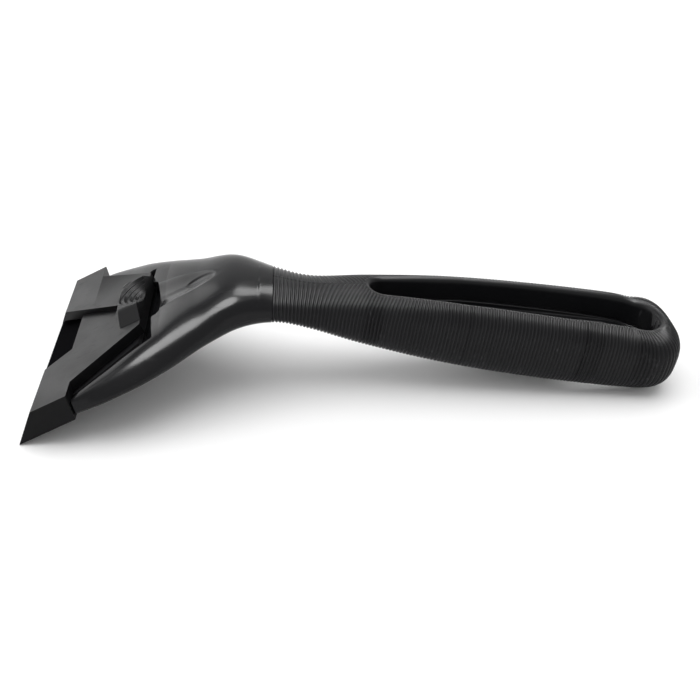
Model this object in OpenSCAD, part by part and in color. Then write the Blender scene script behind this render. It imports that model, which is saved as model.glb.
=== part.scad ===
// Hand-held floor scraper with a 100 mm blade, a push-off blade guard and a ribbed grip.
// The tool lies on a table on its guard's lip and on the end of its grip.
// +X runs from the blade to the end of the grip, +Z is up, and Y is across the blade.

/* [Blade] */
// Width of the blade along its edge
blade_w = 100; // [80:1:120]
// Depth of the blade from its edge to its back
blade_depth = 22; // [18:1:26]
// Thickness of the blade
blade_t = 0.6; // [0.4:0.1:1]

/* [Guard] */
// Width of the guard over its wings
guard_w = 104; // [104:1:124]
// Height of the guard's top above its lower face
guard_h = 10.7; // [10:0.1:12]
// Thickness of the guard's top plate
plate_t = 4.2; // [3:0.1:5]
// How far the guard's top front edge lies behind its lip
nose_run = 12.2; // [10:0.1:14]
// Where the wings end, measured back from the lip along the top
wing_end = 28; // [26:0.5:30]
// Where the tapered plate ends, measured back from the lip
plate_end = 55.7; // [50:0.1:58]

/* [Head] */
// Angle of the blade to the table
head_tilt = 28; // [24:1:32]
// Half width of the V notch at the guard's front
notch_half = 23; // [18:1:26]
// Distance of each clamp screw from the middle
screw_y = 15; // [12:1:20]

/* [Grip] */
// Overall length of the tool
tool_len = 269; // [265:1:280]
// Thickness of the grip sleeve over the core
sleeve_t = 2.4; // [1.5:0.1:3]
// Half thickness of the web between the two grip pockets
web_half = 3; // [2:0.5:4]
// Half width of the hanging hole
hole_half = 7.5; // [5:0.5:8]

/* [Hidden] */
$fn = 48;
eps = 0.01;
gap = 0.35;                 // play between the guard and the tool
beyond = 30;                // reach of a cut past the part's own faces
side_reach = 60;            // half width of a cut through the whole head

// Levels above the guard's lower face, square to the blade
lip_t = 1.2;                // the guard's lower wall
seat_n = 3;                 // underside of the blade
floor_n = seat_n + blade_t; // floor that the clamp plate lies on
clamp_t = 2.4;
clamp_top = floor_n + clamp_t;
edge_u = 4;                 // blade edge, behind the lip
blade_back = edge_u + blade_depth;
clamp_front = 19.5;
clamp_back = 53;
screw_u = 41;
wing_slant = 2.8;           // the wings' back faces lean by this much
wing_wall = 1.7;
plate_half = 43.2;          // half width of the plate just inside the wings
plate_taper = 0.76;         // how fast the plate closes to the back, per side
notch_taper = 0.6;
notch_end = [42, 4.5];      // back end of the notch: distance from the lip, half width
notch_n = 5;                // bottom of the notch's open front
notch_floor = 8.5;          // floor of the notch behind its open front
window_end = 21;            // back end of the open front, where the blade shows
// Side outline of the space in the guard, from its foremost wall to its roof
hollow_front = [[3, 4.1], [3, 2.5], [6.5, lip_t]];
roof_start = 9;

// Clamp plate, seen from above: square at the front, then closing to the back
clamp_half = 44;
clamp_half_back = 27;
clamp_shoulder = 28;
bevel_run = 2.9;            // chamfer along the clamp plate's front edge
bevel_foot = 0.7;
bolt_play = 0.2;
head_play = 0.1;

// M4 countersunk screws in brass inserts
screw_r = 2;
screw_head_r = 3.7;
screw_head_h = 1.9;
screw_len = 7.3;
insert_r = 2.9;
insert_len = 4.8;
insert_top = floor_n - 0.4;
slot_w = 0.8;
slot_depth = 1.1;
grind = 1.6;                // depth of the ground edge, each side
tongue_half = 46;           // the body's tongue under the blade

// Stations of the moulded body, front to back:
// [distance from the lip, height, lean, half width, half height, squareness, narrowing upwards]
STATIONS = [
    [ 14.5, 12.5, head_tilt, 50.4,  4.3, 7.0, 0.00],
    [ 22.5, 16.5, head_tilt, 50.4,  5.0, 6.0, 0.00],
    [ 33.5, 21.8, head_tilt, 48.6,  6.5, 4.0, 0.07],
    [ 44.0, 26.7, head_tilt, 44.5,  8.3, 3.3, 0.13],
    [ 55.0, 31.0, head_tilt, 38.4,  9.6, 2.8, 0.15],
    [ 68.0, 35.4, 24,        30.5,  9.9, 2.4, 0.10],
    [ 82.0, 39.4, 8,         23.5,  9.8, 2.5, 0.05],
    [ 97.0, 37.4, -3,        17.6,  8.6, 2.1, 0.00],
    [112.0, 33.9, -7,        14.9,  9.2, 2.2, 0.00],
    [135.0, 30.4, -7,        16.0, 12.7, 2.6, 0.00],
    [170.0, 25.6, -7.5,      18.5, 16.2, 2.9, 0.00],
    [205.0, 20.9, -7.5,      20.9, 17.0, 3.0, 0.00],
    [238.0, 16.7, -7.5,      22.7, 16.4, 3.0, 0.00],
    [252.7, 14.8, -7.5,      24.0, 14.8, 3.0, 0.00]];
LAST = len(STATIONS) - 1;
GRIP_START = 6.93;          // place along the stations where the sleeve begins
RING = 40;                  // points round a section
END_RINGS = 9;
end_x = STATIONS[LAST][0];
end_reach = 0.8;            // how far the leaning end passes its own middle
end_run = tool_len - end_x - end_reach;
end_power = 2.85;           // roundness of the end in plan
end_flat = 2.26;            // roundness of the end seen from the side
end_share = 0.93;           // keeps the closed end from coming to a knife edge
end_turn = 86;              // the last ring stands at this angle of a quarter circle

// Pockets in the grip, front to back: [distance from the lip, radius]
POCKET = [[140.8, 6.2], [176, 10.1], [213, 12], [247, 12.3]];
GRIP_AXIS = [190, 22.9];    // a point on the grip's axis
HOLE_ENDS = [231, 246];

// Recess in the head for the clamp plate and the guard's plate
recess_front = [20, 53.7];  // distance from the lip, half width
recess_back = 60;
recess_taper = 0.55;
thumb_room = [[55, -16], [59, -16], [62.2, -12.5], [62.2, 12.5], [59, 16], [55, 16]];

// Value of one Catmull-Rom segment through four rows
function spline(a, b, c, d, t) =
    0.5 * (2 * b + (c - a) * t + (2 * a - 5 * b + 4 * c - d) * t * t
           + (3 * b - a - 3 * c + d) * t * t * t);
function row(i) = STATIONS[max(0, min(LAST, i))];
function station(s) =
    let (i = min(floor(s), LAST - 1))
    spline(row(i - 1), row(i), row(i + 1), row(i + 2), s - i);

// Signed power, for the rounded-square outline of a section
function spow(v, p) = sign(v) * pow(abs(v), p);
function ring_point(st, angle, inset) =
    let (e = 2 / st[5],
         up = spow(sin(angle), e),
         side = (st[3] - inset) * spow(cos(angle), e) * (1 - st[6] * up),
         rise = (st[4] - inset) * up)
    [st[0] - rise * sin(st[2]), side, st[1] + rise * cos(st[2])];
function ring(st, inset) = [for (k = [0 : RING - 1]) ring_point(st, 360 * k / RING, inset)];

// The end closes in plan and, more squarely, from the side
function end_station(f, inset) =
    let (st = station(LAST), run = end_run - inset)
    [st[0] + run * f, st[1], st[2],
     (st[3] - inset) * pow(1 - pow(f, end_power), 1 / end_power),
     (st[4] - inset) * pow(1 - pow(f * end_share, end_flat), 1 / end_flat), st[5], st[6]];
function end_rings(inset) =
    [for (k = [1 : END_RINGS]) ring(end_station(sin(end_turn * k / END_RINGS), inset), 0)];

function loft_points(rings) = [for (r = rings) each r];
function loft_sides(count) =
    [for (i = [0 : count - 2], k = [0 : RING - 1])
        let (a = i * RING + k, b = i * RING + (k + 1) % RING)
        each [[a, b + RING, b], [a, a + RING, b + RING]]];
module loft(rings) {
    count = len(rings);
    front = [for (k = [0 : RING - 1]) k];
    back = [for (k = [RING - 1 : -1 : 0]) (count - 1) * RING + k];
    polyhedron(loft_points(rings), concat([front], loft_sides(count), [back]), convexity = 6);
}

function span(from, to, step, inset) = [for (s = [from : step : to - eps]) ring(station(s), inset)];

// Everything is placed from the middle of the tool's length
module tool_frame() translate([-tool_len / 2, 0, 0]) children();
// The head's own frame: X back along the blade, Z square to it, origin on the lip
module head_frame() tool_frame() rotate([0, -head_tilt, 0]) children();

module slab(outline, low, high) translate([0, 0, low]) linear_extrude(high - low) polygon(outline);

// Outline that narrows to the back by the head's taper
function tapered(u0, half0, u1, rate) =
    [[u0, -half0], [u1, rate * (u1 - u0) - half0], [u1, half0 - rate * (u1 - u0)], [u0, half0]];

// Side outline swept across the head, from -half to +half
module across(outline, half)
    translate([0, half, 0]) rotate([90, 0, 0]) linear_extrude(2 * half) polygon(outline);

// Plan outline of the grip's two pockets, in the tool's frame
module pocket_outline() for (k = [0 : len(POCKET) - 2]) hull() for (c = [POCKET[k], POCKET[k + 1]])
    translate([c[0], 0]) circle(c[1]);
web_slope = atan((STATIONS[12][1] - STATIONS[9][1]) / (STATIONS[12][0] - STATIONS[9][0]));
module along_grip() translate([GRIP_AXIS[0], 0, GRIP_AXIS[1]]) rotate([0, -web_slope, 0])
    translate([-GRIP_AXIS[0], 0, 0]) children();
module pockets() tool_frame() along_grip() for (side = [0, 1]) mirror([0, 0, side])
    translate([0, 0, web_half]) linear_extrude(beyond) pocket_outline();
module hanging_hole() tool_frame() along_grip() translate([0, 0, -web_half - 1])
    linear_extrude(2 * web_half + 2) hull() for (x = HOLE_ENDS) translate([x, 0]) circle(hole_half);

module recess() head_frame() {
    slab(tapered(recess_front[0], recess_front[1], recess_back, recess_taper), floor_n, beyond);
    slab(thumb_room, floor_n, beyond);
}

// Where the body's front face stands, at a level of the head's frame
function front_u(n) = wing_end - wing_slant + gap + wing_slant * n / guard_h;

module handle_body() color([0.05, 0.05, 0.055]) difference() {
    tool_frame() loft(concat(span(0, GRIP_START, 0.2, 0), [ring(station(GRIP_START), 0)],
        [ring(station(GRIP_START + 0.001), sleeve_t)],
        span(GRIP_START + 0.2, LAST, 0.25, sleeve_t), [ring(station(LAST), sleeve_t)],
        end_rings(sleeve_t)));
    // Front face, leaning with the guard's wings, above and below a tongue under the blade
    head_frame() difference() {
        across([[-beyond, -beyond], [front_u(-beyond), -beyond], [front_u(beyond), beyond],
                [-beyond, beyond]], side_reach);
        translate([clamp_front + 1, -tongue_half, lip_t + gap])
            cube([blade_depth, 2 * tongue_half, seat_n - lip_t - gap]);
    }
    recess();
    // Blade seat
    head_frame() translate([0, -side_reach, seat_n]) cube([blade_back, 2 * side_reach, beyond]);
    pockets();
    hanging_hole();
    for (y = [-screw_y, screw_y]) head_frame() translate([screw_u, y, insert_top - insert_len])
        cylinder(r = insert_r, h = beyond);
}

module grip_sleeve() color([0.09, 0.09, 0.10]) difference() {
    tool_frame() loft(concat([ring(station(GRIP_START), 0)], span(GRIP_START + 0.2, LAST, 0.25, 0),
        [ring(station(LAST), 0)], end_rings(0)));
    tool_frame() loft(concat([ring(station(GRIP_START - 0.05), sleeve_t)],
        [ring(station(GRIP_START + 0.001), sleeve_t)],
        span(GRIP_START + 0.2, LAST, 0.25, sleeve_t), [ring(station(LAST), sleeve_t)],
        end_rings(sleeve_t)));
    pockets();
}

module threaded_insert() color([0.78, 0.60, 0.28]) translate([screw_u, 0, insert_top - insert_len])
    difference() {
        cylinder(r = insert_r, h = insert_len);
        translate([0, 0, -1]) cylinder(r = screw_r, h = insert_len + 2);
    }
module threaded_insert_left() head_frame() translate([0, screw_y, 0]) threaded_insert();
module threaded_insert_right() head_frame() translate([0, -screw_y, 0]) threaded_insert();

// Blade with an edge ground from both sides, held by the clamp plate's pressure
module scraper_blade() color([0.72, 0.73, 0.75]) head_frame()
    across([[edge_u, seat_n + blade_t / 2], [edge_u + grind, seat_n], [blade_back, seat_n],
            [blade_back, floor_n], [edge_u + grind, floor_n]], blade_w / 2);

// Flat plate with a chamfered front edge and two countersunk holes
module clamp_plate() color([0.10, 0.10, 0.11]) head_frame() difference() {
    slab([[clamp_front, -clamp_half], [clamp_shoulder, -clamp_half], [clamp_back, -clamp_half_back],
          [clamp_back, clamp_half_back], [clamp_shoulder, clamp_half], [clamp_front, clamp_half]],
         floor_n, clamp_top);
    across([[clamp_front - 1, floor_n + bevel_foot], [clamp_front, floor_n + bevel_foot],
            [clamp_front + bevel_run, clamp_top + eps], [clamp_front - 1, clamp_top + 1]], side_reach);
    for (y = [-screw_y, screw_y]) translate([screw_u, y, 0]) {
        cylinder(r = screw_r + bolt_play, h = beyond);
        translate([0, 0, clamp_top - screw_head_h])
            cylinder(r1 = screw_r + bolt_play, r2 = screw_head_r + head_play, h = screw_head_h);
        translate([0, 0, clamp_top - eps]) cylinder(r = screw_head_r + head_play, h = beyond);
    }
}

// Countersunk screw with a cross slot, its head just under the plate's top
module clamp_screw() color([0.62, 0.63, 0.65]) translate([screw_u, 0, clamp_top - 0.05]) difference() {
    union() {
        translate([0, 0, -screw_head_h]) cylinder(r1 = screw_r, r2 = screw_head_r, h = screw_head_h);
        translate([0, 0, -screw_len]) cylinder(r = screw_r, h = screw_len - screw_head_h + eps);
    }
    for (turn = [0, 90]) rotate(turn) translate([-screw_r, -slot_w / 2, -slot_depth])
        cube([2 * screw_r, slot_w, 2 * slot_depth]);
}
module clamp_screw_left() head_frame() translate([0, screw_y, 0]) clamp_screw();
module clamp_screw_right() head_frame() translate([0, -screw_y, 0]) clamp_screw();

// Raised thumb cup at the back of the guard's plate: a ball's cap, hollowed by a smaller ball
tab_front = 44;
tab_half = 17.5;
tab_rise = 4.3;
cap = [8, -14, 26];         // ball's place past the plate's end, its level over the plate, its radius
bowl = [6, 9, 14.5];
module thumb_tab() difference() {
    intersection() {
        translate([tab_front, -tab_half, guard_h - eps]) cube([plate_end - tab_front, 2 * tab_half, tab_rise]);
        translate([plate_end + cap[0], 0, guard_h + cap[1]]) sphere(r = cap[2]);
    }
    translate([plate_end + bowl[0], 0, guard_h + bowl[1]]) sphere(r = bowl[2]);
}

module notch(bottom)
    slab([[0, -notch_half - nose_run * notch_taper], [notch_end[0], -notch_end[1]],
          notch_end, [0, notch_half + nose_run * notch_taper]], bottom, guard_h + 1);

module blade_guard() color([0.07, 0.07, 0.075]) head_frame() {
    difference() {
        union() {
            across([[0, 0], [wing_end - wing_slant, 0], [wing_end, guard_h], [nose_run, guard_h]], guard_w / 2);
            slab(tapered(wing_end - 1, plate_half, plate_end, plate_taper), guard_h - plate_t, guard_h);
        }
        // Space over the blade and the front of the clamp plate
        across(concat(hollow_front, [[wing_end + 1, lip_t], [wing_end + 1, clamp_top + gap],
                [roof_start, clamp_top + gap]]), guard_w / 2 - wing_wall);
        // V notch in the top, open at the front and cut right through over the blade
        notch(notch_floor);
        intersection() {
            notch(notch_n);
            across([[0, 0], [window_end, 0], [window_end, guard_h + 1], [0, guard_h + 1]], side_reach);
        }
    }
    thumb_tab();
}

handle_body();
grip_sleeve();
threaded_insert_left();
threaded_insert_right();
scraper_blade();
clamp_plate();
clamp_screw_left();
clamp_screw_right();
blade_guard();
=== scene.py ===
"""Looks of a hand-held floor scraper with a push-off blade guard and a ribbed grip.

All shapes are built in millimetres in the tool's own frame, with X measured from the guard's
lip to the end of the grip, and are placed in the CAD frame, in metres, by place().
"""
import math

import bmesh
import bpy
import numpy as np
from mathutils import Matrix, Vector


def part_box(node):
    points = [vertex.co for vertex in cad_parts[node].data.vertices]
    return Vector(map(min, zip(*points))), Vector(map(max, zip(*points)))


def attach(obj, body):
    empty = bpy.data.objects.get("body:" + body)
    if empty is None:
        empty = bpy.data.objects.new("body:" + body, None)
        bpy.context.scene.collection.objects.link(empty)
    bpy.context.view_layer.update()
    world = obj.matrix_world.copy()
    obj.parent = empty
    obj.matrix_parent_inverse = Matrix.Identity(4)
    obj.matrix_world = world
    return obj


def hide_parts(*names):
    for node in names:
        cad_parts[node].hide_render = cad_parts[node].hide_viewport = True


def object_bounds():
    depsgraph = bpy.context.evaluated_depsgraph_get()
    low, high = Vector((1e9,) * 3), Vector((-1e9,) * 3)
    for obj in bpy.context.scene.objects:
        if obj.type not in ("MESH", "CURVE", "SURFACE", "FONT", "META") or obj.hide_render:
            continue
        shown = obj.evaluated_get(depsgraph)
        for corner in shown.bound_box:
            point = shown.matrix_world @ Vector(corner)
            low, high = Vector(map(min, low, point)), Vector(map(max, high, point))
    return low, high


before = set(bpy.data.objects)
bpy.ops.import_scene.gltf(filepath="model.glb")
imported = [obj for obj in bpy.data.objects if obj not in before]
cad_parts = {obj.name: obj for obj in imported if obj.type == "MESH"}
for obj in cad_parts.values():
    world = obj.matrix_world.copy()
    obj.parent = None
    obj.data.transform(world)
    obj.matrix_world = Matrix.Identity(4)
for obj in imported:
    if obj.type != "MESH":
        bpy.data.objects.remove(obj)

cad_low, cad_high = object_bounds()

# -------- driving dimensions, in mm
MM = 0.001
TOOL_LEN = (cad_high.x - cad_low.x) / MM
GUARD_W = (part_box("blade_guard")[1].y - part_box("blade_guard")[0].y) / MM
BLADE_W = (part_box("scraper_blade")[1].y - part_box("scraper_blade")[0].y) / MM
HEAD_TILT = 28.0

# Guard, in the head's frame: U back from the lip, N square to the blade
GUARD_H = 10.7              # from its underside to its top
NOSE_RUN = 12.2             # the nose's slope ends here
WING_END = 28.0
WING_SLANT = 2.8            # the wings' rear ends lean back by this over their height
WING_WALL = 1.7
PLATE_T = 4.2
PLATE_END = 55.7
PLATE_HALF = 42.4           # half width where the wings end
PLATE_TAPER = 0.76          # loss of half width for each mm further back
NOTCH_HALF = 23.0           # half width at the top of the nose's slope
NOTCH_TAPER = 0.6
NOTCH_BACK = 42.0
NOTCH_BACK_HALF = 4.5
NOTCH_FLOOR = 8.5
WINDOW_END = 21.0           # in front of here the notch has no floor
HOLLOW_FRONT = 3.0          # the space inside the wedge starts here
HOLLOW_LOW = 6.5            # and reaches its floor and its roof here
HOLLOW_HIGH = 9.0
GAP = 0.35                  # clearance between the guard and what it slides off
OVER = 1.0                  # how far a cutting shape passes the surface that it cuts

# Blade, seat and clamp, in the head's frame
LIP_T = 1.2                 # thickness of the guard's floor
SEAT_N = 3.0                # level of the blade's underside
BLADE_T = 0.6
FLOOR_N = SEAT_N + BLADE_T
CLAMP_TOP = FLOOR_N + 2.4
EDGE_U = 4.0                # the blade's edge
TIP_RUN = 0.5               # ground tip of the blade: its length, and its depth from either face
TIP_N = 0.16
GRIND_RUN = 1.6
BLADE_BACK = 26.0
CLAMP_FRONT = 19.5
CLAMP_SHOULDER = 28.0
CLAMP_BACK = 53.0
CLAMP_HALF = 44.0
CLAMP_BACK_HALF = 27.0
CLAMP_CHAMFER = 2.9
CLAMP_EDGE = 0.7            # height of its front edge under the chamfer
SEAT_HALF = 45.5
SCREW_U = 41.0
SCREW_Y = 15.0
SCREW_R = 2.2
SCREW_HEAD_R = 3.8
SCREW_HEAD_T = 1.9

# Grip
SLEEVE_T = 2.4              # thickness of the grip's skin
RIB_PITCH = 1.48
RIB_DEPTH = 0.58
RIB_SHARPNESS = 1.6         # above 1 the grooves are narrower than the ribs
WEB_HALF = 3.0              # half thickness of the web between the pockets
GRIP_START = 6.93           # its place on the row of stations
GRIP_SLOPE = math.radians(7.5)
GRIP_MID = (190.0, 22.9)    # a point on the grip's axis: X and Z

# Stations of the moulded body, front to back:
# distance from the lip, height, lean, half width, half height, squareness, narrowing upwards
STATIONS = np.array([
    (14.5, 12.5, HEAD_TILT, 50.4, 4.3, 7.0, 0.00),
    (22.5, 16.5, HEAD_TILT, 50.4, 5.0, 6.0, 0.00),
    (33.5, 21.8, HEAD_TILT, 48.6, 6.5, 4.0, 0.07),
    (44.0, 26.7, HEAD_TILT, 44.5, 8.3, 3.3, 0.13),
    (55.0, 31.0, HEAD_TILT, 38.4, 9.6, 2.8, 0.15),
    (68.0, 35.4, 24.0, 30.5, 9.9, 2.4, 0.10),
    (82.0, 39.4, 8.0, 23.5, 9.8, 2.5, 0.05),
    (97.0, 37.4, -3.0, 17.6, 8.6, 2.1, 0.00),
    (112.0, 33.9, -7.0, 14.9, 9.2, 2.2, 0.00),
    (135.0, 30.4, -7.0, 16.0, 12.7, 2.6, 0.00),
    (170.0, 25.6, -7.5, 18.5, 16.2, 2.9, 0.00),
    (205.0, 20.9, -7.5, 20.9, 17.0, 3.0, 0.00),
    (238.0, 16.7, -7.5, 22.7, 16.4, 3.0, 0.00),
    (252.7, 14.8, -7.5, 24.0, 14.8, 3.0, 0.00)])
LAST = len(STATIONS) - 1
END_REACH = 0.82            # how far the leaning end passes its own middle
END_RUN = TOOL_LEN - STATIONS[LAST, 0] - END_REACH
END_POWER = 2.85            # roundness of the end in plan
END_FLAT = 2.26             # roundness of the end seen from the side
END_SHARE = 0.93            # keeps the closed end from coming to a knife edge

PAD = 0.03                  # kept inside the CAD skin, so that the looks never leave its box


# -------- frames
def place(points):
    """Tool frame in mm to the CAD frame in metres."""
    return (np.asarray(points, float) - [TOOL_LEN / 2, 0, 0]) * MM


def head_to_tool(points):
    """Head frame (U, Y, N) to the tool frame."""
    p = np.asarray(points, float)
    c, s = math.cos(math.radians(HEAD_TILT)), math.sin(math.radians(HEAD_TILT))
    return np.stack([p[..., 0] * c - p[..., 2] * s, p[..., 1], p[..., 0] * s + p[..., 2] * c], -1)


def tool_to_head(points):
    """Tool frame to the head frame (U, Y, N)."""
    p = np.asarray(points, float)
    c, s = math.cos(math.radians(HEAD_TILT)), math.sin(math.radians(HEAD_TILT))
    return np.stack([p[..., 0] * c + p[..., 2] * s, p[..., 1], -p[..., 0] * s + p[..., 2] * c], -1)


def along_grip(points):
    """Distance along the grip's own axis, measured like X."""
    c, s = math.cos(GRIP_SLOPE), math.sin(GRIP_SLOPE)
    return GRIP_MID[0] + (points[..., 0] - GRIP_MID[0]) * c - (points[..., 2] - GRIP_MID[1]) * s


def smoothstep(low, high, x):
    """0 below low, 1 above high, and a smooth rise between."""
    t = np.clip((x - low) / (high - low), 0, 1)
    return t * t * (3 - 2 * t)


def smooth_min(a, b, k):
    """Smaller of a and b, rounded over a width of k."""
    h = np.clip(0.5 + 0.5 * (b - a) / k, 0, 1)
    return b + (a - b) * h - k * h * (1 - h)


# -------- the body's sections
def spline_rows(s):
    """Stations at the places s (an array), on a Catmull-Rom curve through STATIONS."""
    s = np.asarray(s, float)
    i = np.minimum(np.floor(s).astype(int), LAST - 1)
    t = (s - i)[:, None]
    a, b, c, d = (STATIONS[np.clip(i + k, 0, LAST)] for k in (-1, 0, 1, 2))
    return 0.5 * (2 * b + (c - a) * t + (2 * a - 5 * b + 4 * c - d) * t ** 2
                  + (3 * b - a - 3 * c + d) * t ** 3)


def end_rows(turn, inset):
    """Stations round the grip's closed end; turn runs from 0 to a quarter circle."""
    f = np.sin(turn) ** (2 / END_POWER)
    w = np.cos(turn) ** (2 / END_POWER)
    st = np.repeat(STATIONS[LAST][None], len(f), 0)
    run = END_RUN - inset
    st[:, 0] += run * f
    st[:, 3] = (st[:, 3] - inset) * w
    st[:, 4] = (st[:, 4] - inset) * (1 - (f * END_SHARE) ** END_FLAT) ** (1 / END_FLAT)
    return st


def inset_rows(st, inset):
    """Stations of the surface that lies inside by the inset."""
    out = st.copy()
    out[:, 3] -= inset
    out[:, 4] -= inset
    return out


def section_half(st, count=361):
    """Side and rise of a section's +Y half, from its top to its bottom: (rows, count) each."""
    angle = np.linspace(math.pi / 2, -math.pi / 2, count)[None]
    e = (2 / st[:, 5])[:, None]
    up = np.sign(np.sin(angle)) * np.abs(np.sin(angle)) ** e
    side = st[:, 3:4] * np.abs(np.cos(angle)) ** e * (1 - st[:, 6:7] * up)
    return side, st[:, 4:5] * up


def lift(st, side, rise):
    """Points of the tool frame for a section's side and rise."""
    lean = np.radians(st[:, 2])[:, None]
    return np.stack([st[:, 0:1] - rise * np.sin(lean), side, st[:, 1:2] + rise * np.cos(lean)], -1)


def top_rise(st, side):
    """Height of the section's top over its middle, at a given side (rows, n)."""
    reach = np.clip(np.abs(side) / np.maximum(st[:, 3:4], 1e-6), 0, 1)
    n = st[:, 5:6]
    return st[:, 4:5] * (1 - reach ** n) ** (1 / n)


# -------- meshes
WELD = 0.004                # points closer than this become one


class Patchwork:
    """Collects grids of points into one welded mesh."""

    def __init__(self):
        self.points, self.faces, self.count = [], [], 0

    def add(self, points, faces):
        self.points.append(points.reshape(-1, 3))
        self.faces.extend((np.asarray(faces) + self.count).tolist())
        self.count += len(self.points[-1])

    def add_grid(self, points, wrap=False):
        """A grid of quads, left open where it would only lie flat in the middle plane."""
        rows, cols = points.shape[:2]
        steps = cols if wrap else cols - 1
        i, j = np.meshgrid(np.arange(rows - 1), np.arange(steps), indexing="ij")
        a, b = i * cols + j, i * cols + (j + 1) % cols
        quads = np.stack([a, b, b + cols, a + cols], -1).reshape(-1, 4)
        flat = points.reshape(-1, 3)
        on_middle = (np.abs(flat[quads][..., 1]) < 1e-6).all(1)
        self.add(points, quads[~on_middle])

    def add_mirrored(self, points, wrap=False):
        """A grid of the +Y half and its mirror image."""
        self.add_grid(points, wrap)
        self.add_grid(points * [1, -1, 1], wrap)

    def mesh(self, name):
        data = bpy.data.meshes.new(name)
        data.from_pydata(place(np.concatenate(self.points)).tolist(), [], self.faces)
        bm = bmesh.new()
        bm.from_mesh(data)
        bmesh.ops.remove_doubles(bm, verts=bm.verts, dist=WELD * MM)
        bmesh.ops.dissolve_degenerate(bm, edges=bm.edges, dist=WELD * MM / 2)
        loose = [v for v in bm.verts if not v.link_faces]
        bmesh.ops.delete(bm, geom=loose, context="VERTS")
        bmesh.ops.recalc_face_normals(bm, faces=bm.faces)
        bm.to_mesh(data)
        bm.free()
        return data


def show(data, material, body, nodes, sharp=None, flat=False):
    """Make a mesh into a piece that rides on a body and stands for CAD nodes."""
    piece = bpy.data.objects.new(data.name, data)
    bpy.context.scene.collection.objects.link(piece)
    data.materials.clear()
    data.materials.append(material)
    data.shade_smooth()
    if sharp is not None:
        data.set_sharp_from_angle(angle=math.radians(sharp))
    if flat:
        piece.modifiers.new("even_normals", "WEIGHTED_NORMAL").keep_sharp = True
    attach(piece, body)
    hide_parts(*nodes)


def loft(name, low_ring, high_ring):
    """Closed solid between two rings of points in the head's frame."""
    n = len(low_ring)
    data = bpy.data.meshes.new(name)
    sides = [[k, (k + 1) % n, (k + 1) % n + n, k + n] for k in range(n)]
    caps = [list(range(n))[::-1], list(range(n, 2 * n))]
    points = place(head_to_tool(np.concatenate([low_ring, high_ring])))
    data.from_pydata(points.tolist(), [], caps + sides)
    bm = bmesh.new()
    bm.from_mesh(data)
    bmesh.ops.recalc_face_normals(bm, faces=bm.faces)
    bm.to_mesh(data)
    bm.free()
    return data


def prism(outline, low, high, plane="plan"):
    """Closed prism in the head's frame: a plan outline raised, or a side outline swept in Y."""
    outline = np.asarray(outline, float)
    rings = []
    for level in (low, high):
        across = np.full(len(outline), level)
        columns = [outline, across] if plane == "plan" else [outline[:, 0], across, outline[:, 1]]
        rings.append(np.column_stack(columns))
    return loft("prism", *rings)


def cone(u, y, low, high, r_low, r_high):
    """Closed cone or cylinder that stands square to the blade."""
    turn = np.linspace(0, 2 * math.pi, 48, endpoint=False)
    rings = []
    for r, n in ((r_low, low), (r_high, high)):
        rings.append(np.stack([u + r * np.cos(turn), y + r * np.sin(turn), np.full(len(turn), n)], -1))
    return loft("cone", *rings)


def carve(base, steps, bevel, segments=3, angle=28):
    """Join or cut other meshes with base, one after another, and round the edges that are left."""
    host = bpy.data.objects.new("carving", base)
    bpy.context.scene.collection.objects.link(host)
    tools = []
    for operation, data in steps:
        tool = bpy.data.objects.new("cutter", data)
        bpy.context.scene.collection.objects.link(tool)
        tools.append(tool)
        change = host.modifiers.new("carve", "BOOLEAN")
        change.operation, change.solver, change.object = operation, "EXACT", tool
    edge = host.modifiers.new("round", "BEVEL")
    edge.width, edge.segments, edge.limit_method = bevel * MM, segments, "ANGLE"
    edge.angle_limit = math.radians(angle)
    bpy.context.view_layer.update()
    carved = host.evaluated_get(bpy.context.evaluated_depsgraph_get())
    result = bpy.data.meshes.new_from_object(carved)
    for thing in [host] + tools:
        bpy.data.objects.remove(thing)
    return result


# -------- materials
def new_material(name):
    """A material with its node tree and its main shader."""
    material = bpy.data.materials.new(name)
    material.use_nodes = True
    tree = material.node_tree
    return material, tree, tree.nodes["Principled BSDF"]


def noise(tree, scale, detail=4.0, rough=0.55, stretch=None):
    """Noise in the piece's own metres; stretch draws it out along an axis."""
    coords = tree.nodes.new("ShaderNodeTexCoord")
    mapping = tree.nodes.new("ShaderNodeMapping")
    texture = tree.nodes.new("ShaderNodeTexNoise")
    tree.links.new(coords.outputs["Object"], mapping.inputs["Vector"])
    tree.links.new(mapping.outputs["Vector"], texture.inputs["Vector"])
    texture.inputs["Scale"].default_value = scale
    texture.inputs["Detail"].default_value = detail
    texture.inputs["Roughness"].default_value = rough
    if stretch:
        mapping.inputs["Scale"].default_value = stretch
    return texture.outputs["Fac"]


def remap(tree, value, low, high, to_low, to_high):
    """The range from low to high spread over another, and held at its ends beyond."""
    node = tree.nodes.new("ShaderNodeMapRange")
    tree.links.new(value, node.inputs["Value"])
    for key, number in (("From Min", low), ("From Max", high), ("To Min", to_low), ("To Max", to_high)):
        node.inputs[key].default_value = number
    return node.outputs["Result"]


def combine(tree, operation, a, b):
    """Sum or product of two values, each a socket or a number."""
    node = tree.nodes.new("ShaderNodeMath")
    node.operation = operation
    for k, value in enumerate((a, b)):
        if isinstance(value, (int, float)):
            node.inputs[k].default_value = value
        else:
            tree.links.new(value, node.inputs[k])
    return node.outputs["Value"]


def blend_colours(tree, factor, first, second):
    node = tree.nodes.new("ShaderNodeMix")
    node.data_type = "RGBA"
    tree.links.new(factor, node.inputs["Factor"])
    node.inputs["A"].default_value = (*first, 1)
    node.inputs["B"].default_value = (*second, 1)
    return node.outputs["Result"]


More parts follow.
